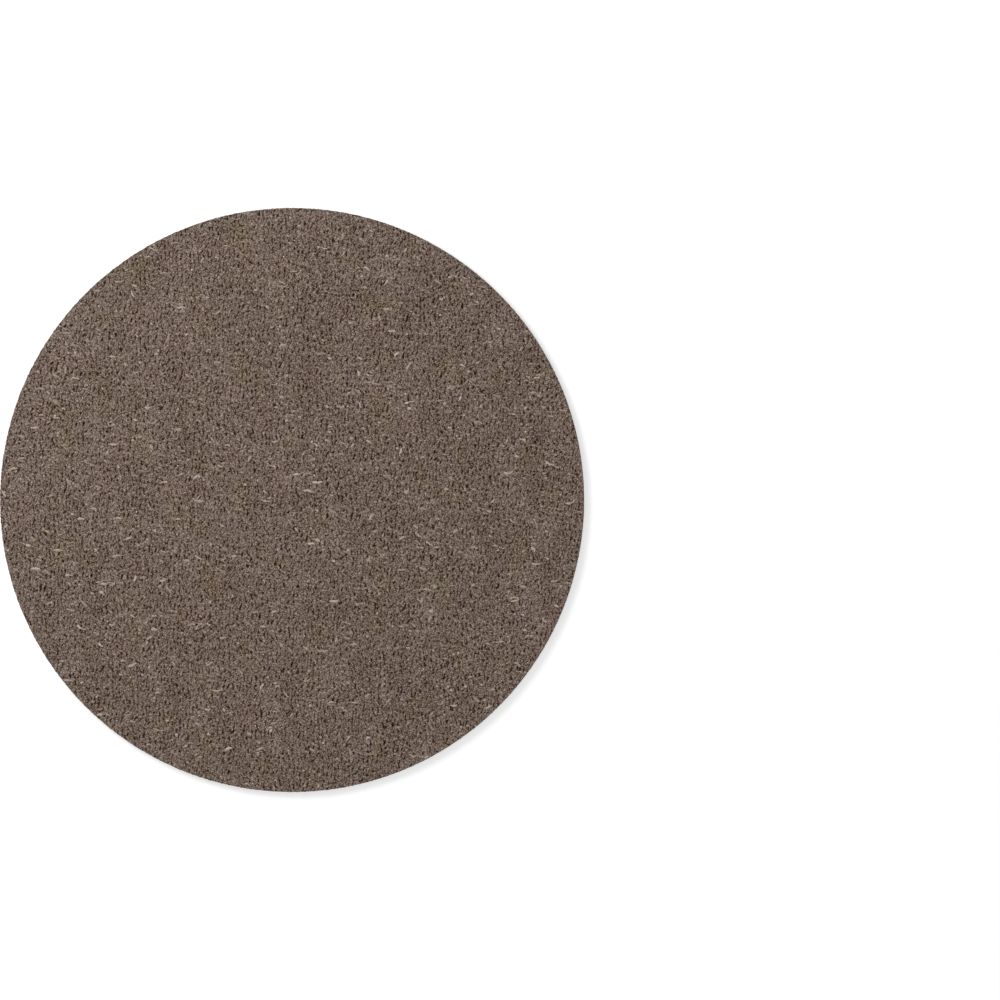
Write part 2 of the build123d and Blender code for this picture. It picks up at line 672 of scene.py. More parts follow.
def new_material(name):
    """An empty node material, with its tree and its Principled shader."""
    material = bpy.data.materials.new(name)
    material.use_nodes = True
    tree = material.node_tree
    tree.nodes.clear()
    shader = tree.nodes.new("ShaderNodeBsdfPrincipled")
    output = tree.nodes.new("ShaderNodeOutputMaterial")
    tree.links.new(shader.outputs[0], output.inputs[0])
    return material, tree, shader


def paint(tree, shader, shade, rough, mirror=0.5):
    """Gives a shader its colour, its roughness and how strongly it mirrors."""
    tree.links.new(shade, shader.inputs["Base Color"])
    shader.inputs["Roughness"].default_value = rough
    shader.inputs["Specular IOR Level"].default_value = mirror


def object_place(tree):
    """The place of a point on the object, in metres."""
    return add_node(tree, "ShaderNodeTexCoord").outputs["Object"]


def own_value(tree, name):
    """A number that the mesh keeps under this name."""
    settings = {"attribute_type": "GEOMETRY", "attribute_name": name}
    return add_node(tree, "ShaderNodeAttribute", **settings).outputs["Fac"]


# A display turns a value into light by about this power
DISPLAY_POWER = 2.2
# No part of a shade is darker than this, in shares of white
DARKEST = (0.113, 0.068, 0.040)


def shade_of(tree, middle, steps):
    """The middle colour moved by steps that are even to the eye, in shares of white for each part."""
    shown = vector_maths(tree, "POWER", tuple(middle), (1 / DISPLAY_POWER,) * 3)
    shown = vector_maths(tree, "MAXIMUM", vector_maths(tree, "ADD", shown, steps), DARKEST)
    return vector_maths(tree, "POWER", shown, (DISPLAY_POWER,) * 3)


def disc_rings(radius, gap):
    """Points and triangles of a flat disc, and where its last ring starts and how many points that one has.
    Ring k has 6k points, so that all lie about as far apart."""
    rings = max(2, round(radius / gap))
    radii = np.arange(rings + 1) * radius / rings
    points = [np.zeros((1, 2))]
    for k in range(1, rings + 1):
        turn = np.arange(6 * k) * (2 * math.pi / (6 * k))
        points.append(radii[k] * np.column_stack([np.cos(turn), np.sin(turn)]))
    starts = np.concatenate([[0], 1 + 3 * np.arange(rings + 1) * np.arange(1, rings + 2)])
    faces = []
    for k in range(1, rings + 1):
        inner_start, inner_count = (0, 1) if k == 1 else (starts[k - 1], 6 * (k - 1))
        outer_start, outer_count = starts[k], 6 * k
        sextant = np.repeat(np.arange(6), k)
        step = np.tile(np.arange(k), 6)
        inner = inner_start + (sextant * (k - 1) + step) % inner_count
        outer = outer_start + (sextant * k + step) % outer_count
        after = outer_start + (sextant * k + step + 1) % outer_count
        faces.append(np.column_stack([inner, outer, after]))
        if k > 1:
            keep = step < k - 1
            next_inner = inner_start + (sextant * (k - 1) + step + 1) % inner_count
            faces.append(np.column_stack([inner, after, next_inner])[keep])
    return np.vstack(points), np.vstack(faces), starts[rings], 6 * rings


def ring_points(radius, turn, height):
    """Points round Z at these angles, at one height. The radius may be one number or one for each point."""
    return np.column_stack([radius * np.cos(turn), radius * np.sin(turn), np.full(len(turn), height)])


def band(first, second, count):
    """Triangles between two rings of so many points, from where each ring starts in the list of points.

    They face outward where the first ring is the upper one.
    """
    along = np.arange(count)
    after = (along + 1) % count
    return np.vstack([np.column_stack([first + along, second + along, second + after]),
                      np.column_stack([first + along, second + after, first + after])])


def marked_piece(name, points, faces, mark, marks):
    """A piece from lists of arrays of points and faces, with a number kept on each point as its mark."""
    piece = new_piece(name, np.vstack(points).tolist(), np.vstack(faces).tolist())
    kept = piece.data.attributes.new(mark, "FLOAT", "POINT").data
    kept.foreach_set("value", np.concatenate(marks).astype(np.float32))
    return piece


def turned_disc(name, flat_radius, gap, level, profile, mark):
    """A flat disc and a rim turned from a profile of radius, height and mark.

    The mark is 0 on the flat part. The last ring stays open.
    """
    flat, faces, last, rim_count = disc_rings(flat_radius, gap)
    points = [np.column_stack([flat, np.full(len(flat), level)])]
    marks = [np.zeros(len(flat))]
    walls = [faces]
    turn = np.arange(rim_count) * (2 * math.pi / rim_count)
    count = len(flat)
    for radius, height, value in profile:
        points.append(ring_points(radius, turn, height))
        marks.append(np.full(rim_count, value))
        walls.append(band(last, count, rim_count))
        last = count
        count += rim_count
    return marked_piece(name, points, walls, mark, marks)


# The rounded edge of the coat: angle from the flat top, and the mark of the ring there, from 0 to 1
EDGE_STEPS = ((math.pi / 6, 0.15), (math.pi / 3, 0.5), (math.pi / 2, 1.0))
# Mark of the coat's foot, which strays a little less than its edge
FOOT_MARK = 0.8
# The top is flat where the mark is less than this
FLAT_MARK = 0.05
# The tops of the ridges lie this many spreads above the mean, and the hollows between them as many below
RIDGE_REACH = 2.2
# Size of the crumbs in the broken edge
EDGE_CRUMB = (0.55 * MM, 0.55 * MM, 0.55 * MM)
# The broken edge strays outward by no more than this many spreads, so that it stays on the cloth
EDGE_REACH = 1.4


def coat_tree():
    """Geometry Nodes that press the pits into the top of the coat and break up its edge."""
    tree, given, result = new_tree("grain_relief", "Pit depth", "Ridge height", "Coarseness", "Edge wander")
    place = position(tree)
    edge = kept_value(tree, "edge")
    height, pit = coat_fields(tree, place, given["Coarseness"])
    under_top = ramp(tree, height, -RIDGE_REACH, RIDGE_REACH, 1.0, 0.0, "LINEAR")
    depth = times(tree, under_top, given["Ridge height"])
    depth = maths(tree, "MULTIPLY_ADD", pit, given["Pit depth"], depth)
    down = vector_of(tree, 0.0, 0.0, times(tree, depth, minus(tree, 1.0, edge), -1.0))
    out = vector_maths(tree, "NORMALIZE", flattened(tree, place))
    crumbs = maths(tree, "MINIMUM", solid_noise(tree, place, EDGE_CRUMB, detail=2.0), EDGE_REACH)
    stray = times(tree, crumbs, given["Edge wander"], edge)
    broken = moved(tree, given["Geometry"], vector_maths(tree, "ADD", down, scaled(tree, out, stray)))
    finish_tree(tree, broken, given, result)
    return tree


def wall_unrolled(tree, place):
    """A place seen from above, with the coat's wall laid out flat round the rim."""
    flat = flattened(tree, place)
    drop = maths(tree, "MAXIMUM", minus(tree, SHEET_HIGH.z, parts_of(tree, place)[2]), 0.0)
    drop = times(tree, drop, ramp(tree, own_value(tree, "edge"), 0.0, EDGE_STEPS[0][1]))
    return vector_maths(tree, "ADD", flat, scaled(tree, vector_maths(tree, "NORMALIZE", flat), drop))


# Grains and clusters stray from an even grid by this share of the distance between them
GRAIN_STRAY = 0.8
# How far a whole grain takes the tone of its middle, from 0 for not at all to 1
GRAIN_HOLD = 0.5
# The pattern of grains is turned by this angle, so that its rows don't run along X and Y
GRAIN_TURN = math.radians(27)
# One over the spread of even random values from 0 to 1
EVEN_SPREAD = 3.46
# The painted shade in the gap round a grain, and in the one round a cluster, darkens over this range of
# distance from the middle
GRAIN_GAP = (0.0, 0.6)
CLUSTER_GAP = (0.25, 0.75)
# Size of the wandering tone
FIELD_SIZE = (9.0 * MM, 16.0 * MM)
# Olive and pink patches: size, how far apart their noise is read, the range that brings them up, and the hue
PATCHES = (
    ((7.5 * MM, 7.5 * MM), (31.0, 7.0, 0.0), (0.54, 0.74), (-0.18, 0.06, -1.0)),
    ((7.0 * MM, 7.0 * MM), (5.0, 43.0, 0.0), (0.50, 0.74), (0.28, -0.08, 0.0)),
)
# A darker place loses a little more blue than red, because its gloss is as pale as that of a ridge
DEEPENING = (0.99, 1.01, 1.035)


def spun(tree, place, angle):
    """A place turned about Z."""
    inputs = {"Vector": place, "Angle": angle}
    return add_node(tree, "ShaderNodeVectorRotate", inputs, rotation_type="Z_AXIS").outputs[0]


def tilted(tree, colour_of_cell, by):
    """The normal of a surface, tilted at random for each cell, so that every grain has its own facet."""
    normal = tree.nodes.new("ShaderNodeNewGeometry").outputs["Normal"]
    shift = scaled(tree, centred(tree, colour_of_cell), by)
    return vector_maths(tree, "NORMALIZE", vector_maths(tree, "ADD", normal, shift))


def hue_patches(tree, flat, hue_tone):
    """Steps of tone that make some patches of the coat olive and others pink."""
    hues = []
    for size, apart, rise, hue in PATCHES:
        patch = noise_apart(tree, flat, size, apart, detail=2.0)
        strength = ramp(tree, patch, *rise, 0.0, hue_tone)
        hues.append(scaled(tree, hue, strength))
    return vector_maths(tree, "ADD", *hues)


def coat_material(sizes):
    """Dark resin and painted shade in the pits, painted shade in the gaps round grains and clusters and by
    height, and brown grain on the ridges, dull, each grain with a tone of its own.
    """
    material, tree, shader = new_material("bonded_grain")
    place = object_place(tree)
    flat = flattened(tree, place)
    unrolled = wall_unrolled(tree, place)
    rows = spun(tree, unrolled, GRAIN_TURN)
    grains = cells(tree, over(tree, rows, sizes.grain, sizes.grain), "2D", GRAIN_STRAY)
    clusters = cells(tree, over(tree, rows, sizes.cluster, sizes.cluster), "2D", GRAIN_STRAY)
    middle = vector_maths(tree, "MULTIPLY", grains["Position"], (sizes.grain, sizes.grain, 0.0))
    inputs = {0: GRAIN_HOLD, 4: unrolled, 5: spun(tree, middle, -GRAIN_TURN)}
    held = add_node(tree, "ShaderNodeMix", inputs, data_type="VECTOR").outputs[1]
    height, pit = coat_fields(tree, held, sizes.coarseness)

    tone = minus(tree, parts_of(tree, grains["Color"])[0], 0.5)
    tone = times(tree, tone, EVEN_SPREAD * sizes.grain_tone)
    # Painted light and shade by height: higher places paler, lower ones darker
    steps = maths(tree, "MULTIPLY_ADD", height, sizes.height_shade, tone)
    # Painted shade: each grain paler in its middle and darker at its edge, and darker round each cluster
    half_gap_shade = sizes.grain_gap_shade / 2
    steps = plus(tree, steps, ramp(tree, grains["Distance"], *GRAIN_GAP, half_gap_shade, -half_gap_shade))
    steps = plus(tree, steps, ramp(tree, clusters["Distance"], *CLUSTER_GAP, 0.0, -sizes.cluster_gap_shade))
    # Thin crest lines made paler
    steps = maths(tree, "MULTIPLY_ADD", pale_crests(tree, flat), sizes.pale_crest_tone, steps)
    # Pits darker: partly dark resin, partly painted shade
    steps = maths(tree, "MULTIPLY_ADD", pit, -sizes.pit_resin_and_shade, steps)
    field = in_spreads(tree, noise(tree, over(tree, flat, *FIELD_SIZE), detail=2.0), FLAT_SPREAD)
    steps = maths(tree, "MULTIPLY_ADD", field, sizes.field_tone, steps)
    shades = vector_maths(tree, "MULTIPLY", even(tree, steps), DEEPENING)
    shades = vector_maths(tree, "ADD", shades, hue_patches(tree, flat, sizes.hue_tone))
    paint(tree, shader, shade_of(tree, sizes.coat_colour, shades), rough=0.75, mirror=0.15)
    tree.links.new(tilted(tree, grains["Color"], sizes.facet_tilt), shader.inputs["Normal"])
    return material


class SANDING_OT_grain_coat(bpy.types.Operator):
    """The bonded grain coat: a crust of ridges and pits with a broken edge"""

    bl_idname = "sanding_disc.grain_coat"
    bl_label = "Grain coat"

    def execute(self, context):
        sizes = context.scene.disc_coat
        top = SHEET_HIGH.z
        radius = SHEET_RADIUS - sizes.chip_back
        flat_radius = radius - sizes.edge_radius
        rounding = [(flat_radius + sizes.edge_radius * math.sin(angle),
                     top - sizes.edge_radius * (1 - math.cos(angle)), mark) for angle, mark in EDGE_STEPS]
        foot = (radius, top - sizes.thickness, FOOT_MARK)
        gap = sizes.point_gap * POINT_STEP
        coat = turned_disc("grain_coat", flat_radius, gap, top, rounding + [foot], "edge")
        run_tree(coat, coat_tree(), {
            "Pit depth": sizes.pit_depth, "Ridge height": sizes.ridge_height, "Coarseness": sizes.coarseness,
            "Edge wander": sizes.edge_wander, "Material": coat_material(sizes),
        })
        settle(coat)
        thin(coat, sizes.faces)
        close_rim(coat)
        lay_flat(coat, flat_radius, top)
        place_in(coat, "abrasive_sheet")
        return {"FINISHED"}


# The draw of a grain's size is raised to this power, so that small grains are common
SMALL_GRAINS = 2.0
# Width and height of a grain beside its length
GRAIN_WIDTH = (0.60, 1.0)
GRAIN_HEIGHT = (0.50, 0.9)
# How much the corners of the grains are moved, and over what length
GRAIN_JIGGLE = (0.14 * MM, 0.12 * MM)
# Tones of the grains beside the coat's colour, from the darkest to the palest
GRAIN_TONES = (-0.052, 0.086)
# Grains whose draw is above this are paler still, by up to this much: partly pale mineral, partly a painted
# glint
PALE_FROM = 0.80
PALE_AND_GLINT_TONE = 0.30
# Blue changes a little less than red and green
GRAIN_BLUE = 0.97


def grains_tree():
    """Geometry Nodes that stand small crystals of many shapes on the ridges of the coat."""
    tree, given, result = new_tree("standing_grains", "Density", "Smallest", "Largest", "Coarseness", "Seed")
    draw = draws_from(tree, given["Seed"])
    pit = coat_fields(tree, position(tree), given["Coarseness"])[1]
    clear = minus(tree, maths(tree, "LESS_THAN", kept_value(tree, "edge"), FLAT_MARK), pit)
    density = times(tree, maths(tree, "MAXIMUM", clear, 0.0), given["Density"])
    size = between(tree, given["Smallest"], given["Largest"], maths(tree, "POWER", draw(1), SMALL_GRAINS))
    width = times(tree, size, draw(2, *GRAIN_WIDTH))
    height = times(tree, size, draw(3, *GRAIN_HEIGHT))
    turn = turned(tree, *(draw(4 + axis, 0.0, 2 * math.pi) for axis in range(3)))
    stone = add_node(tree, "GeometryNodeMeshIcoSphere", {"Radius": 1.0, "Subdivisions": 1}).outputs[0]
    points = scattered(tree, given, density)[0]
    placed = stood(tree, points, stone, turn, vector_of(tree, size, width, height))
    placed = keep_value(tree, placed, "tone", draw(9))
    finish_tree(tree, jiggled(tree, realize(tree, placed), *GRAIN_JIGGLE), given, result)
    return tree


def grains_material(coat_sizes):
    """Crystals of the coat's own colour, some of them pale, partly as pale mineral and partly as a painted
    glint, with facets that glint a little.
    """
    material, tree, shader = new_material("standing_grain")
    tone = own_value(tree, "tone")
    steps = ramp(tree, tone, 0.0, 1.0, *GRAIN_TONES, "LINEAR")
    # Paler grains: partly pale mineral, partly a painted glint
    steps = plus(tree, steps, ramp(tree, tone, PALE_FROM, 1.0, 0.0, PALE_AND_GLINT_TONE))
    shades = vector_of(tree, steps, steps, times(tree, steps, GRAIN_BLUE))
    paint(tree, shader, shade_of(tree, coat_sizes.coat_colour, shades), rough=0.55, mirror=0.3)
    return material


class SANDING_OT_standing_grains(bpy.types.Operator):
    """Crystals that stand on the ridges of the coat"""

    bl_idname = "sanding_disc.standing_grains"
    bl_label = "Standing grains"

    def execute(self, context):
        sizes = context.scene.disc_grains
        coat_sizes = context.scene.disc_coat
        coat = bpy.data.objects["grain_coat"]
        dress("standing_grains", coat, grains_tree(), {
            "Density": sizes.grains * COUNT_SHARE / top_area(coat), "Smallest": sizes.smallest,
            "Largest": sizes.largest, "Coarseness": coat_sizes.coarseness, "Seed": sizes.grain_seed,
            "Material": grains_material(coat_sizes),
        }, "abrasive_sheet")
        return {"FINISHED"}


# The line of a splinter one unit long and bowed by one unit: an end, two handles and the other end
SPLINTER_BOW = ((-0.5, 0.0, 0.0), (-0.2, 0.22, 0.0), (0.2, 0.22, 0.0), (0.5, 0.0, 0.0))
SPLINTER_STEPS = 5
SPLINTER_SIDES = 4
# The draw of a splinter's length is raised to this power, so that short splinters are common
SHORT_SPLINTERS = 3.0
# Most that a splinter leans away from X, and how far it tips up or down
SPLINTER_LEAN = math.radians(72)
SPLINTER_TIP = 0.06
# Girth of the splinters beside the splinter width
SPLINTER_GIRTH = (0.26, 0.60)
# How much the line of a splinter is moved at random, and its corners, and over what length
SPLINTER_WAVE = (0.28 * MM, 0.70 * MM)
SPLINTER_CHIPS = (0.50 * MM, 0.26 * MM)
# The middle of a splinter lies this much over the coat, and this much or more under the solid's top
SPLINTER_RISE = 0.03 * MM
# No corner of a splinter stands higher than this over the solid coat, or nearer to its rim than the inset
SPLINTER_REACH = 0.22 * MM
SPLINTER_INSET = 0.3 * MM
# Angle at which the taper of a splinter starts: a larger one gives blunter ends
SPLINTER_TAPER = 0.50
# Tones of the splinters beside their colour, from the darkest to the palest
SPLINTER_TONES = (-0.19, 0.050)
# Range of the draw of the hue, and the steps of blue, or of green, at its two ends
YELLOWISH = (0.0, 0.4, -0.034, 0.008)
PINKISH = (0.7, 1.0, 0.0, -0.011)


def splinters_tree():
    """Geometry Nodes that lay pale slender splinters on the coat, most of them across it."""
    tree, given, result = new_tree("pale_splinters", "Density", "Shortest", "Longest", "Width", "Seed")
    draw = draws_from(tree, given["Seed"])
    on_top = maths(tree, "LESS_THAN", kept_value(tree, "edge"), FLAT_MARK)
    points = scattered(tree, given, times(tree, on_top, given["Density"]))[0]
    size = between(tree, given["Shortest"], given["Longest"], maths(tree, "POWER", draw(1), SHORT_SPLINTERS))
    bow = times(tree, size, draw(2, -1.0, 1.0))
    lean = mostly_small(tree, draw(3, -1.0, 1.0), SPLINTER_LEAN)
    turn = turned(tree, 0.0, draw(4, -SPLINTER_TIP, SPLINTER_TIP), lean)
    line = bent_line(tree, SPLINTER_STEPS, *SPLINTER_BOW)
    placed = stood(tree, points, line, turn, vector_of(tree, size, bow, size))
    placed = keep_value(tree, placed, "girth", times(tree, draw(5, *SPLINTER_GIRTH), given["Width"]))
    placed = keep_value(tree, placed, "tone", draw(6))
    placed = keep_value(tree, placed, "hue", draw(7))
    wavy = moved(tree, jiggled(tree, realize(tree, placed), *SPLINTER_WAVE), (0.0, 0.0, SPLINTER_RISE))
    inside = SHEET_RADIUS - SPLINTER_INSET
    wavy = kept_within(tree, wavy, inside, SHEET_LOW.z, SHEET_HIGH.z - SPLINTER_RISE)
    along = tree.nodes.new("GeometryNodeSplineParameter").outputs["Factor"]
    taper = ramp(tree, along, 0.0, 1.0, SPLINTER_TAPER, math.pi - SPLINTER_TAPER, "LINEAR")
    radius = times(tree, maths(tree, "SINE", taper), kept_value(tree, "girth"))
    chipped = jiggled(tree, tube(tree, wavy, radius, SPLINTER_SIDES), *SPLINTER_CHIPS)
    chipped = kept_within(tree, chipped, inside, SHEET_LOW.z, SHEET_HIGH.z + SPLINTER_REACH)
    finish_tree(tree, faceted(tree, chipped), given, result)
    return tree


def splinters_material(sizes):
    """Pale mineral, from light brown to nearly white, some of it yellowish and some of it pinkish."""
    material, tree, shader = new_material("pale_splinter")
    steps = ramp(tree, own_value(tree, "tone"), 0.0, 1.0, *SPLINTER_TONES, "LINEAR")
    hue = own_value(tree, "hue")
    green = plus(tree, steps, ramp(tree, hue, *PINKISH))
    blue = plus(tree, steps, ramp(tree, hue, *YELLOWISH))
    shades = vector_of(tree, steps, green, blue)
    paint(tree, shader, shade_of(tree, sizes.splinter_colour, shades), rough=0.6)
    return material


class SANDING_OT_pale_splinters(bpy.types.Operator):
    """Pale slender splinters among the grains"""

    bl_idname = "sanding_disc.pale_splinters"
    bl_label = "Pale splinters"

    def execute(self, context):
        sizes = context.scene.disc_grains
        coat = bpy.data.objects["grain_coat"]
        dress("pale_splinters", coat, splinters_tree(), {
            "Density": sizes.splinters / top_area(coat), "Shortest": sizes.shortest,
            "Longest": sizes.longest, "Width": sizes.splinter_width, "Seed": sizes.splinter_seed,
            "Material": splinters_material(sizes),
        }, "abrasive_sheet")
        return {"FINISHED"}


# Points across each yarn end, and rows of points up the cut edge of each cloth
YARN_POINTS = 4
BACKING_ROWS = 6
GROUND_ROWS = 5
# Levels of the middles of low and high yarn ends in the cut edge, and how far up and down an end reaches
YARN_LEVELS = (0.36, 0.64)
YARN_HALF = 0.24
# The shortest yarn end beside the longest, and the seed of that draw
YARN_SHORTEST = 0.6
YARN_SEED = 7
# Size of the cut fibres along the cut and across it, and how much their tone varies
FIBRE = (0.26 * MM, 0.26 * MM, 0.06 * MM)
FIBRE_TONE = 0.035
# A place is fully a yarn end, and not in the shadow between two, from this mark on
END_MARK = 0.6


def cut_cloth(name, radius, low, high, gap, crimp, rows):
    """A round of cloth whose cut edge shows the ends of its yarns, one high and the next one low.

    How far each point stands out is kept as its ends mark.
    """
    yarns = 2 * round(math.pi * radius / gap)
    count = yarns * YARN_POINTS
    turn = np.arange(count) * (2 * math.pi / count)
    yarn = np.arange(count) // YARN_POINTS
    within = np.sin(math.pi * (np.arange(count) % YARN_POINTS + 0.5) / YARN_POINTS)
    draws = np.random.default_rng(YARN_SEED).uniform(YARN_SHORTEST, 1.0, yarns)[yarn]
    middle = np.where(yarn % 2 == 0, *YARN_LEVELS)
    points = []
    marks = []
    for row in range(rows):
        level = row / (rows - 1)
        end = within * draws * np.exp(-(((level - middle) / YARN_HALF) ** 2))
        points.append(ring_points(radius - crimp * (1 - end), turn, low + level * (high - low)))
        marks.append(end)
    points.append(np.array([[0.0, 0.0, low], [0.0, 0.0, high]]))
    marks.append(np.full(2, 0.5))
    faces = [band(row * count, (row + 1) * count, count)[:, ::-1] for row in range(rows - 1)]
    along = np.arange(count)
    after = (along + 1) % count
    top = (rows - 1) * count
    faces.append(np.column_stack([after, along, np.full(count, rows * count)]))
    faces.append(np.column_stack([top + along, top + after, np.full(count, rows * count + 1)]))
    cloth = marked_piece(name, points, faces, "ends", marks)
    lay_flat(cloth, radius - 2 * crimp, high)
    return cloth


def cloth_material(name, tint, shadow, rough):
    """Cut yarn: paler at the yarns' ends and darker between them, with a fine fibrous tone."""
    material, tree, shader = new_material(name)
    steps = times(tree, solid_noise(tree, object_place(tree), FIBRE, detail=2.0), FIBRE_TONE)
    steps = plus(tree, steps, ramp(tree, own_value(tree, "ends"), 0.0, END_MARK, -shadow, 0.0))
    paint(tree, shader, shade_of(tree, tint, even(tree, steps)), rough)
    return material


class SANDING_OT_backing_cloth(bpy.types.Operator):
    """The resin-filled cloth under the coat, with its cut yarn ends"""

    bl_idname = "sanding_disc.backing_cloth"
    bl_label = "Backing cloth"

    def execute(self, context):
        sizes = context.scene.disc_cloth
        low = SHEET_LOW.z
        high = low + sizes.backing_thickness
        cloth = cut_cloth("backing_cloth", SHEET_RADIUS, low, high, sizes.yarn_gap, sizes.crimp,
                          BACKING_ROWS)
        finish = cloth_material("resin_cloth", sizes.backing_colour, shadow=0.16, rough=0.6)
        cloth.data.materials.append(finish)
        place_in(cloth, "abrasive_sheet")
        return {"FINISHED"}


class SANDING_OT_knitted_ground(bpy.types.Operator):
    """The knitted ground that carries the loops, with the stitches in its cut edge"""

    bl_idname = "sanding_disc.knitted_ground"
    bl_label = "Knitted ground"

    def execute(self, context):
        sizes = context.scene.disc_cloth
        high = CLOTH_HIGH.z
        low = high - sizes.ground_thickness
        ground = cut_cloth("knitted_ground", CLOTH_RADIUS, low, high, sizes.stitch_gap, sizes.crimp,
                           GROUND_ROWS)
        finish = cloth_material("knitted_yarn", sizes.ground_colour, shadow=0.15, rough=0.9)
        ground.data.materials.append(finish)
        place_in(ground, "loop_cloth")
        return {"FINISHED"}


# Plain figures 80 one unit tall: the middle and the half widths of each of the three rings that draw them
FIGURE_RINGS = (
    ((-0.36, 0.225), (0.19, 0.195)),
    ((-0.36, -0.205), (0.225, 0.225)),
    ((0.36, 0.0), (0.235, 0.425)),
)
# Half the width of a stamped stroke beside the height of its figure, and the range over which its ink fades
STROKE = 0.070
STROKE_FADE = (0.8, 1.2)
# Size of the gaps in the ink, the range over which a noise fills them, and the ink left in them
INK_GRAIN = (0.28 * MM, 0.28 * MM, 0.28 * MM)
INK_RANGE = (0.42, 0.56)
INK_LEAST = 0.15


def ring_line(tree, spot, middle, half):
    """How far a spot lies from the line of an ellipse with this middle and these half widths."""
    part = over(tree, vector_maths(tree, "SUBTRACT", spot, (*middle, 0.0)), *half)
    size = length_of(tree, part)
    slope = length_of(tree, over(tree, part, *half))
    off = times(tree, maths(tree, "ABSOLUTE", minus(tree, size, 1.0)), size)
    return maths(tree, "DIVIDE", off, maths(tree, "MAXIMUM", slope, 1.0))


def figures_line(tree, spot, tall):
    """How far a spot lies from the strokes of a plain 80 of this height about the origin."""
    nearest = SHEET_RADIUS
    for (x, y), (across, along) in FIGURE_RINGS:
        line = ring_line(tree, spot, (x * tall, y * tall), (across * tall, along * tall))
        nearest = maths(tree, "MINIMUM", line, nearest)
    return nearest


def stamp(tree, place, sizes):
    """How much ink lies on a place of the pile: two rows of figures, read from under the disc."""
    seen = vector_maths(tree, "MULTIPLY", place, (-1.0, 1.0, 0.0))
    half = sizes.stamp_apart / 2
    ink = 0.0
    for tall, height in ((sizes.figure_height, half), (sizes.small_height, -half)):
        line = figures_line(tree, vector_maths(tree, "SUBTRACT", seen, (0.0, height, 0.0)), tall)
        fade = (STROKE * tall * part for part in STROKE_FADE)
        ink = maths(tree, "MAXIMUM", ramp(tree, line, *fade, 1.0, 0.0), ink)
    grain = noise(tree, over(tree, place, *INK_GRAIN), detail=1.0, dimensions="3D")
    return times(tree, ink, ramp(tree, grain, *INK_RANGE, INK_LEAST, 1.0))


# Sizes of the brushed fibres, of the painted shade of the clumps and of the cells of the specks, on X, Y and
# Z
BRUSHED = (0.14 * MM, 1.1 * MM, 0.14 * MM)
CLUMP_SHADE_SIZE = (0.9 * MM, 1.6 * MM, 0.9 * MM)
SPECK_CELL = (2.4 * MM, 2.4 * MM, 4.0 * MM)
# How much the tone varies with each of them, the clumps' by painted shade
BRUSHED_TONE = 0.018
CLUMP_SHADE_TONE = 0.010
SPECK_TONE = 0.12
# A speck fades over this range of distance, and the draws that show one at all are in this range and above
SPECK_FADE = (0.05, 0.12)
SPECK_DRAW = (0.70, 0.95)


def pile_material(sizes):
    """White loops: brushed along Y, with painted shade a little grey between clumps, a few grey specks and
    the stamp.
    """
    material, tree, shader = new_material("loop_fibres")
    place = object_place(tree)
    steps = times(tree, solid_noise(tree, place, BRUSHED, detail=2.0), BRUSHED_TONE)
    # Painted shade: the pile a little darker between clumps and paler on them
    clump = solid_noise(tree, place, CLUMP_SHADE_SIZE, detail=1.0)
    steps = maths(tree, "MULTIPLY_ADD", clump, CLUMP_SHADE_TONE, steps)
    speck = cells(tree, over(tree, place, *SPECK_CELL), "3D")
    shown = ramp(tree, parts_of(tree, speck["Color"])[0], *SPECK_DRAW)
    dark = times(tree, ramp(tree, speck["Distance"], *SPECK_FADE, 1.0, 0.0), shown)
    steps = maths(tree, "MULTIPLY_ADD", dark, -SPECK_TONE, steps)
    white = shade_of(tree, sizes.pile_colour, even(tree, steps))
    inputs = {0: stamp(tree, place, sizes), 6: white, 7: (*sizes.ink_colour, 1.0)}
    inked = add_node(tree, "ShaderNodeMix", inputs, data_type="RGBA").outputs[2]
    paint(tree, shader, inked, rough=0.9)
    shader.inputs["Sheen Weight"].default_value = 0.25
    shader.inputs["Sheen Roughness"].default_value = 0.6
    return material


# Size of the clumps of the matted pile, across X, along Y and up Z
CLUMP_SIZE = (0.8 * MM, 1.5 * MM, 0.8 * MM)
# Clumps reach down by no more than this many spreads, so that they stay behind the tips of the loops
CLUMP_REACH = 2.0
# Angles at which the rolled rim has its rings, from its flat part on
ROLL_STEPS = (20, 38, 54, 68, 80)


def pile_tree():
    """Geometry Nodes that make the matted pile rise and fall, in clumps drawn out along Y."""
    tree, given, result = new_tree("matted_clumps", "Clumps")
    clump = solid_noise(tree, position(tree), CLUMP_SIZE, detail=1.0)
    clump = maths(tree, "MINIMUM", clump, CLUMP_REACH)
    by = times(tree, clump, given["Clumps"], minus(tree, 1.0, kept_value(tree, "seam")))
    finish_tree(tree, moved(tree, given["Geometry"], scaled(tree, outward(tree), by)), given, result)
    return tree


class SANDING_OT_matted_pile(bpy.types.Operator):
    """The matted pile behind the tips of the loops, rolled off at the rim"""

    bl_idname = "sanding_disc.matted_pile"
    bl_label = "Matted pile"

    def execute(self, context):
        sizes = context.scene.disc_pile
        high = CLOTH_HIGH.z - context.scene.disc_cloth.ground_thickness
        flat_radius = CLOTH_RADIUS - sizes.roll_width
        wide = sizes.roll_width - sizes.inset
        tall = high - sizes.inset
        roll = [(flat_radius + wide * math.sin(angle), sizes.inset + tall * (1 - math.cos(angle)), 0.0)
                for angle in map(math.radians, ROLL_STEPS)]
        seam = (flat_radius + wide, high, 1.0)
        gap = sizes.point_gap * POINT_STEP
        pile = turned_disc("matted_pile", flat_radius, gap, sizes.inset, roll + [seam], "seam")
        close_rim(pile)
        run_tree(pile, pile_tree(), {"Clumps": sizes.clumps, "Material": pile_material(sizes)})
        settle(pile)
        lay_flat(pile, flat_radius, sizes.inset)
        place_in(pile, "loop_cloth")
        return {"FINISHED"}


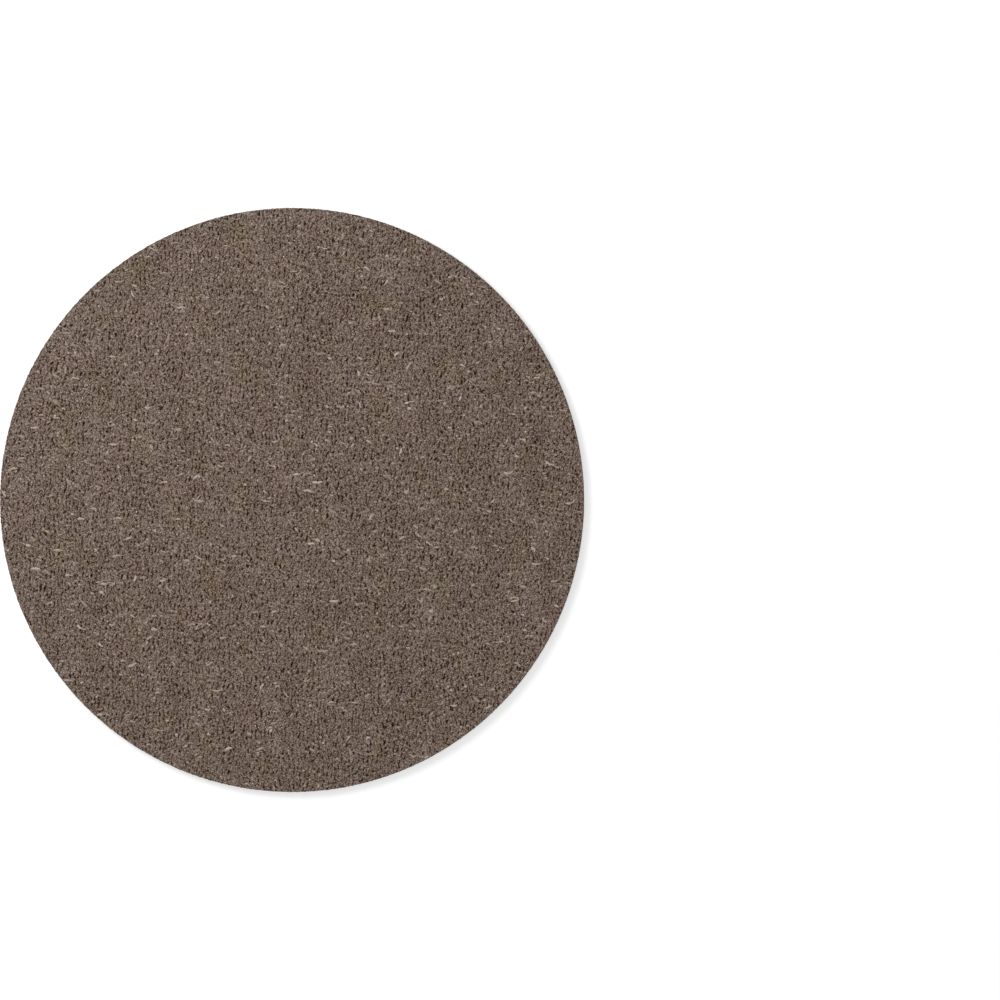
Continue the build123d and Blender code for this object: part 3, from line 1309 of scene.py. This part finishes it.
# The line of a loop one unit wide: a foot, two handles and the other foot
LOOP_ARCH = ((-0.5, 0.0, -0.12), (-0.6, 0.0, 0.75), (0.6, 0.0, 0.75), (0.5, 0.0, -0.12))
LOOP_STEPS = 6
LOOP_SIDES = 3
# Half the thickness of a loop's yarn
YARN = 0.028 * MM
# No part of a loop lies lower than this, so that the disc rests on its loops
LOWEST = 0.004 * MM
# Loops stand on faces whose normal rises by less than this, which leaves out the face glued to the ground
FACES_DOWN = 0.6
# Range of the angle by which a loop is brushed over, and the share of the loops that lie the other way
LOOP_TILT = (0.7, 1.25)
LOOP_BACKWARD = 0.4
# Sizes of the loops beside the loop size
LOOP_SIZES = (0.6, 1.2)
# How much a loop's line is moved at random, and over what length
LOOP_WAVE = (0.26 * MM, 0.50 * MM)
# Width of the rolled rim, measured along its curve
RIM_CURVE = 1.35 * MM
# Loops stay out of this share of the ground's thickness, counted from its top
GROUND_CLEAR = 0.8
# The seed of the rim's loops is this much more than that of the others
RIM_SEED = 20


def loops_tree():
    """Geometry Nodes that stand brushed loops on the matted pile, more of them leaning along Y."""
    tree, given, result = new_tree("brushed_loops", "Flat density", "Rim density", "Flat radius", "Highest",
                                   "Size", "Seed")
    draw = draws_from(tree, given["Seed"])
    far = length_of(tree, flattened(tree, position(tree)))
    on_rim = maths(tree, "GREATER_THAN", far, given["Flat radius"])
    density = between(tree, given["Flat density"], given["Rim density"], on_rim)
    facing = parts_of(tree, outward(tree))[2]
    points = scattered(tree, given, times(tree, density, maths(tree, "LESS_THAN", facing, FACES_DOWN)))
    spin = turned(tree, 0.0, 0.0, mostly_small(tree, draw(1, -1.0, 1.0), math.pi / 2))
    forward = maths(tree, "GREATER_THAN", draw(3), LOOP_BACKWARD)
    side = maths(tree, "MULTIPLY_ADD", forward, 2.0, -1.0)
    lean = turned(tree, times(tree, draw(2, *LOOP_TILT), side), 0.0, 0.0)
    turn = then_turned(tree, points["Rotation"], then_turned(tree, spin, lean))
    size = times(tree, draw(4, *LOOP_SIZES), given["Size"])
    placed = stood(tree, points[0], bent_line(tree, LOOP_STEPS, *LOOP_ARCH), turn, even(tree, size))
    wavy = jiggled(tree, realize(tree, placed), *LOOP_WAVE)
    held = kept_within(tree, wavy, CLOTH_RADIUS - YARN, LOWEST + YARN, given["Highest"])
    finish_tree(tree, tube(tree, held, YARN, LOOP_SIDES), given, result)
    return tree


def make_loops(context, name, on_flat, on_rim, start):
    """A piece of loops on the matted pile, so many on its flat part and so many on its rolled rim."""
    sizes = context.scene.disc_pile
    flat_radius = CLOTH_RADIUS - sizes.roll_width
    flat_area = math.pi * flat_radius ** 2
    rim_area = 2 * math.pi * CLOTH_RADIUS * RIM_CURVE
    dress(name, bpy.data.objects["matted_pile"], loops_tree(), {
        "Flat density": on_flat * COUNT_SHARE / flat_area, "Rim density": on_rim * COUNT_SHARE / rim_area,
        "Flat radius": flat_radius, "Size": sizes.loop_size, "Seed": start,
        "Highest": CLOTH_HIGH.z - context.scene.disc_cloth.ground_thickness * GROUND_CLEAR,
        "Material": bpy.data.materials["loop_fibres"],
    }, "loop_cloth")


class SANDING_OT_pile_loops(bpy.types.Operator):
    """Brushed loops on the flat part of the pile"""

    bl_idname = "sanding_disc.pile_loops"
    bl_label = "Pile loops"

    def execute(self, context):
        sizes = context.scene.disc_pile
        make_loops(context, "pile_loops", sizes.loops, 0, sizes.loop_seed)
        return {"FINISHED"}


class SANDING_OT_rim_loops(bpy.types.Operator):
    """Dense loops on the rolled rim of the pile"""

    bl_idname = "sanding_disc.rim_loops"
    bl_label = "Rim loops"

    def execute(self, context):
        sizes = context.scene.disc_pile
        make_loops(context, "rim_loops", 0, sizes.rim_loops, sizes.loop_seed + RIM_SEED)
        return {"FINISHED"}


# Where the two lamps hang and how wide they are
KEY_PLACE = (-0.190, 0.170, 0.26)
KEY_SIDE = 0.18
FILL_PLACE = (0.10, -0.08, 0.95)
FILL_SIDE = 0.7
# From this far out to this far out the floor shows more and more light of its own, as the lamps fall off
GLOW_NEAR = 0.12
GLOW_FAR = 0.60
WHITE = (1.0, 1.0, 1.0, 1.0)
# The photograph is square: its side, the middle of the disc and the disc's width, in pixels
PICTURE_SIDE = 1000
DISC_CENTRE_PIXEL = (291.96, 500.0)
DISC_PIXELS = 584.95
# Width of the camera's sensor in millimetres
SENSOR_WIDTH = 36.0


def add_lamp(name, place, side, power):
    """A soft square lamp that looks at the disc."""
    lamp = bpy.data.lights.new(name, "AREA")
    lamp.size = side
    lamp.energy = power
    holder = add_object(name, lamp)
    holder.location = place
    holder.rotation_mode = "QUATERNION"
    holder.rotation_quaternion = (-Vector(place)).to_track_quat("-Z", "Y")


def add_camera(sizes):
    """The camera of the photograph, straight above, with as many pixels to the disc."""
    pixel = 2 * SHEET_RADIUS / DISC_PIXELS
    camera = bpy.data.cameras.new("camera")
    camera.lens = sizes.lens
    camera.sensor_width = SENSOR_WIDTH
    far = PICTURE_SIDE * pixel * sizes.lens / SENSOR_WIDTH
    camera.clip_start = far * 0.1
    camera.clip_end = far * 4
    middle = PICTURE_SIDE / 2
    holder = add_object("camera", camera)
    holder.location = ((middle - DISC_CENTRE_PIXEL[0]) * pixel, (DISC_CENTRE_PIXEL[1] - middle) * pixel,
                       SHEET_HIGH.z + far)
    return holder


def seen_plainly(tree):
    """1 for what the camera sees, straight, mirrored or through glass, and 0 for what only lights."""
    path = tree.nodes.new("ShaderNodeLightPath")
    seen = maths(tree, "MAXIMUM", path.outputs["Is Camera Ray"], path.outputs["Is Glossy Ray"])
    return maths(tree, "MAXIMUM", seen, path.outputs["Is Transmission Ray"])


def floor_material(sizes):
    """A pale matt floor that shows nearly white and keeps the disc's shadow."""
    material, tree, shader = new_material("pale_floor")
    shader.inputs["Base Color"].default_value = (*sizes.floor_colour, 1.0)
    shader.inputs["Roughness"].default_value = 1.0
    shader.inputs["Specular IOR Level"].default_value = 0.0
    far = length_of(tree, object_place(tree))
    strength = ramp(tree, far, GLOW_NEAR, GLOW_FAR, sizes.floor_glow, sizes.far_glow)
    strength = times(tree, seen_plainly(tree), strength)
    glow = add_node(tree, "ShaderNodeEmission", {"Color": WHITE, "Strength": strength})
    both = add_node(tree, "ShaderNodeAddShader", {0: shader.outputs[0], 1: glow.outputs[0]})
    tree.links.new(both.outputs[0], tree.nodes["Material Output"].inputs[0])
    return material


def pale_sky(sizes):
    """Even light from all round, which the camera sees as white."""
    world = bpy.data.worlds.new("pale_sky")
    world.use_nodes = True
    tree = world.node_tree
    tree.nodes.clear()
    strength = ramp(tree, seen_plainly(tree), 0.0, 1.0, sizes.sky_strength, 1.0, "LINEAR")
    light = add_node(tree, "ShaderNodeBackground", {"Color": WHITE, "Strength": strength})
    tree.links.new(light.outputs[0], tree.nodes.new("ShaderNodeOutputWorld").inputs[0])
    return world


class SANDING_OT_stage(bpy.types.Operator):
    """The floor, the light and the camera of the photograph"""

    bl_idname = "sanding_disc.stage"
    bl_label = "Stage"

    def execute(self, context):
        sizes = context.scene.disc_stage
        half = sizes.floor_side / 2
        corners = [(-half, -half, 0), (half, -half, 0), (half, half, 0), (-half, half, 0)]
        floor = new_piece("floor", corners, [(0, 1, 2, 3)])
        floor.data.materials.append(floor_material(sizes))
        context.scene.world = pale_sky(sizes)
        add_lamp("key_lamp", KEY_PLACE, KEY_SIDE, sizes.key_power)
        add_lamp("fill_lamp", FILL_PLACE, FILL_SIDE, sizes.fill_power)
        context.scene.camera = add_camera(sizes)
        context.scene.view_settings.view_transform = "Standard"
        return {"FINISHED"}


OPERATORS = (
    SANDING_OT_backing_cloth, SANDING_OT_grain_coat, SANDING_OT_standing_grains, SANDING_OT_pale_splinters,
    SANDING_OT_knitted_ground, SANDING_OT_matted_pile, SANDING_OT_pile_loops, SANDING_OT_rim_loops,
    SANDING_OT_stage,
)
SETTINGS = {
    "disc_coat": CoatSettings, "disc_grains": GrainSettings, "disc_cloth": ClothSettings,
    "disc_pile": PileSettings, "disc_stage": StageSettings,
}


class SANDING_PT_pieces(bpy.types.Panel):
    """Buttons that build the pieces, and the sizes they are built to"""

    bl_idname = "SANDING_PT_pieces"
    bl_label = "Sanding disc"
    bl_space_type = "VIEW_3D"
    bl_region_type = "UI"
    bl_category = "Sanding disc"

    def draw(self, context):
        for operator in OPERATORS:
            self.layout.operator(operator.bl_idname)
        for name, kind in SETTINGS.items():
            box = self.layout.box()
            for value in kind.__annotations__:
                box.prop(getattr(context.scene, name), value)


CLASSES = (*SETTINGS.values(), *OPERATORS, SANDING_PT_pieces)


def register():
    for kind in CLASSES:
        bpy.utils.register_class(kind)
    for name, kind in SETTINGS.items():
        setattr(bpy.types.Scene, name, PointerProperty(type=kind))


def unregister():
    for name in SETTINGS:
        delattr(bpy.types.Scene, name)
    for kind in reversed(CLASSES):
        bpy.utils.unregister_class(kind)


def main():
    """Registers the add-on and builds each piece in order."""
    register()
    bpy.ops.sanding_disc.backing_cloth()
    bpy.ops.sanding_disc.grain_coat()
    bpy.ops.sanding_disc.standing_grains()
    bpy.ops.sanding_disc.pale_splinters()
    bpy.ops.sanding_disc.knitted_ground()
    bpy.ops.sanding_disc.matted_pile()
    bpy.ops.sanding_disc.pile_loops()
    bpy.ops.sanding_disc.rim_loops()
    bpy.ops.sanding_disc.stage()


if __name__ == "__main__":
    main()
